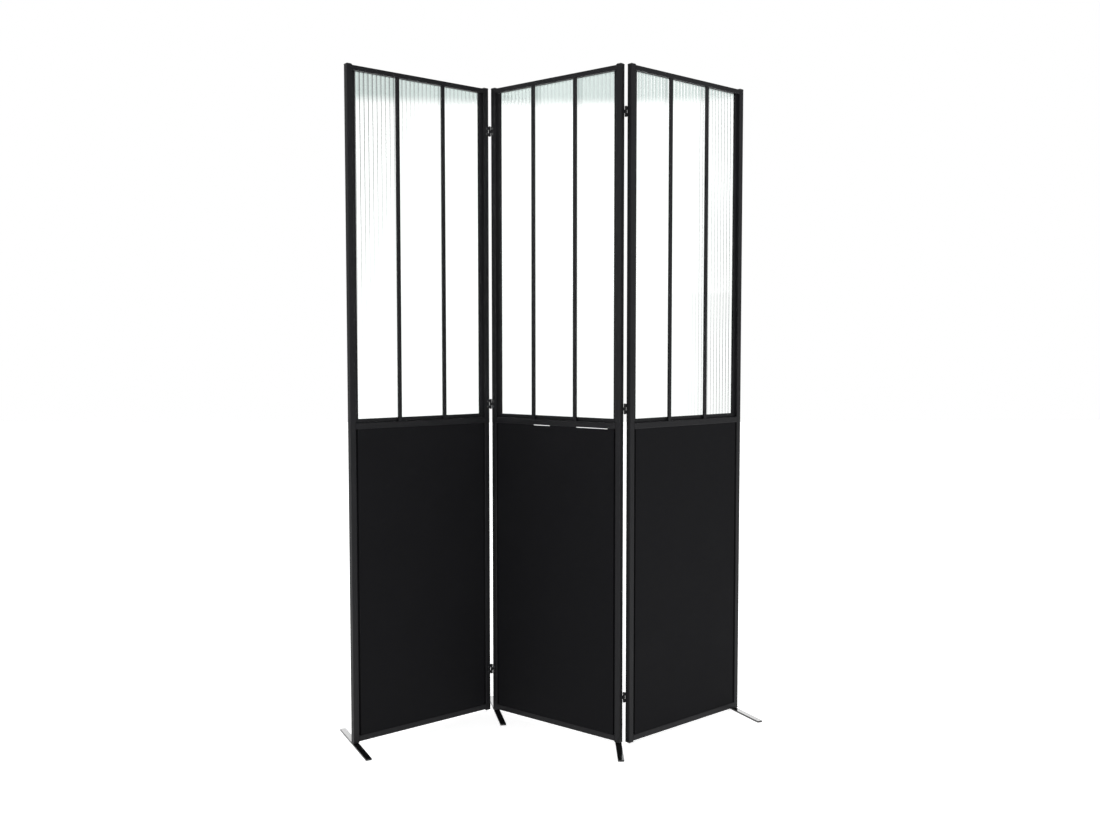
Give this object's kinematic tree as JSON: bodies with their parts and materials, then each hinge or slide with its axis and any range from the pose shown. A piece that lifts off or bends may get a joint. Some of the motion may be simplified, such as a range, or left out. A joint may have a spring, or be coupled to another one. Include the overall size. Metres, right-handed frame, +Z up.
{
  "type": "glass folding screen",
  "caption": "Free-standing folding screen of black steel leaves with reeded glass above raised sheet panels, on flat turning feet",
  "frame": {"origin": "on the floor, under the middle of the box round the screen as it stands in the picture", "axes": "+X is to the right along the overall width, -Y is towards the viewer on the side of the glazing bars, +Z is up, the longest extent"},
  "size_m": [1.1236, 0.4968, 1.7],
  "materials": {
    "black_powder_coat": "semi-gloss",
    "reeded_glass": "clear, reeded on one face",
    "black_nylon": "satin",
    "blackened_steel": "satin"
  },
  "bodies": {
    "middle_leaf": {"left_fold_bottom_hinge_middle_plate": "black_powder_coat", "left_fold_hinge_pins": "blackened_steel", "left_fold_middle_hinge_middle_plate": "black_powder_coat", "left_fold_top_hinge_middle_plate": "black_powder_coat", "middle_leaf_bottom_rail": "black_powder_coat", "middle_leaf_end_plugs": "black_nylon", "middle_leaf_foot_bolts": "blackened_steel", "middle_leaf_glazing_bars": "black_powder_coat", "middle_leaf_hinge_screws": "blackened_steel", "middle_leaf_left_channel": "black_powder_coat", "middle_leaf_left_stile": "black_powder_coat", "middle_leaf_middle_rail": "black_powder_coat", "middle_leaf_raised_sheet": "black_powder_coat", "middle_leaf_reeded_pane": "reeded_glass", "middle_leaf_right_channel": "black_powder_coat", "middle_leaf_right_stile": "black_powder_coat", "middle_leaf_sill_channel": "black_powder_coat", "middle_leaf_top_rail": "black_powder_coat", "right_fold_bottom_hinge_middle_plate": "black_powder_coat", "right_fold_hinge_pins": "blackened_steel", "right_fold_middle_hinge_middle_plate": "black_powder_coat", "right_fold_top_hinge_middle_plate": "black_powder_coat"},
    "left_leaf": {"left_fold_bottom_hinge_left_plate": "black_powder_coat", "left_fold_middle_hinge_left_plate": "black_powder_coat", "left_fold_top_hinge_left_plate": "black_powder_coat", "left_leaf_bottom_rail": "black_powder_coat", "left_leaf_end_plugs": "black_nylon", "left_leaf_foot_bolts": "blackened_steel", "left_leaf_glazing_bars": "black_powder_coat", "left_leaf_hinge_screws": "blackened_steel", "left_leaf_left_channel": "black_powder_coat", "left_leaf_left_stile": "black_powder_coat", "left_leaf_middle_rail": "black_powder_coat", "left_leaf_raised_sheet": "black_powder_coat", "left_leaf_reeded_pane": "reeded_glass", "left_leaf_right_channel": "black_powder_coat", "left_leaf_right_stile": "black_powder_coat", "left_leaf_sill_channel": "black_powder_coat", "left_leaf_top_rail": "black_powder_coat"},
    "right_leaf": {"right_fold_bottom_hinge_right_plate": "black_powder_coat", "right_fold_middle_hinge_right_plate": "black_powder_coat", "right_fold_top_hinge_right_plate": "black_powder_coat", "right_leaf_bottom_rail": "black_powder_coat", "right_leaf_end_plugs": "black_nylon", "right_leaf_foot_bolts": "blackened_steel", "right_leaf_glazing_bars": "black_powder_coat", "right_leaf_hinge_screws": "blackened_steel", "right_leaf_left_channel": "black_powder_coat", "right_leaf_left_stile": "black_powder_coat", "right_leaf_middle_rail": "black_powder_coat", "right_leaf_raised_sheet": "black_powder_coat", "right_leaf_reeded_pane": "reeded_glass", "right_leaf_right_channel": "black_powder_coat", "right_leaf_right_stile": "black_powder_coat", "right_leaf_sill_channel": "black_powder_coat", "right_leaf_top_rail": "black_powder_coat"},
    "left_foot": {"left_leaf_foot": "black_powder_coat"},
    "middle_left_foot": {"middle_leaf_left_foot": "black_powder_coat"},
    "middle_right_foot": {"middle_leaf_right_foot": "black_powder_coat"},
    "right_foot": {"right_leaf_foot": "black_powder_coat"}
  },
  "joints": [
    {"name": "left_fold", "type": "hinge", "parent": "middle_leaf", "child": "left_leaf", "pos_m": [-0.17022, 0.12409, 0.8525], "axis": [0, 0, 1], "range_deg": [-85.2, 70.8]},
    {"name": "right_fold", "type": "hinge", "parent": "middle_leaf", "child": "right_leaf", "pos_m": [0.17781, -0.12591, 0.8525], "axis": [0, 0, 1], "range_deg": [-87, 69]},
    {"name": "left_foot_swivel", "type": "hinge", "parent": "left_leaf", "child": "left_foot", "pos_m": [-0.50359, -0.12954, 0.002], "axis": [0, 0, 1], "continuous": true},
    {"name": "middle_left_foot_swivel", "type": "hinge", "parent": "middle_leaf", "child": "middle_left_foot", "pos_m": [-0.15644, 0.12655, 0.002], "axis": [0, 0, 1], "continuous": true},
    {"name": "middle_right_foot_swivel", "type": "hinge", "parent": "middle_leaf", "child": "middle_right_foot", "pos_m": [0.16403, -0.12837, 0.002], "axis": [0, 0, 1], "continuous": true},
    {"name": "right_foot_swivel", "type": "hinge", "parent": "right_leaf", "child": "right_foot", "pos_m": [0.50305, 0.13806, 0.002], "axis": [0, 0, 1], "continuous": true}
  ]
}
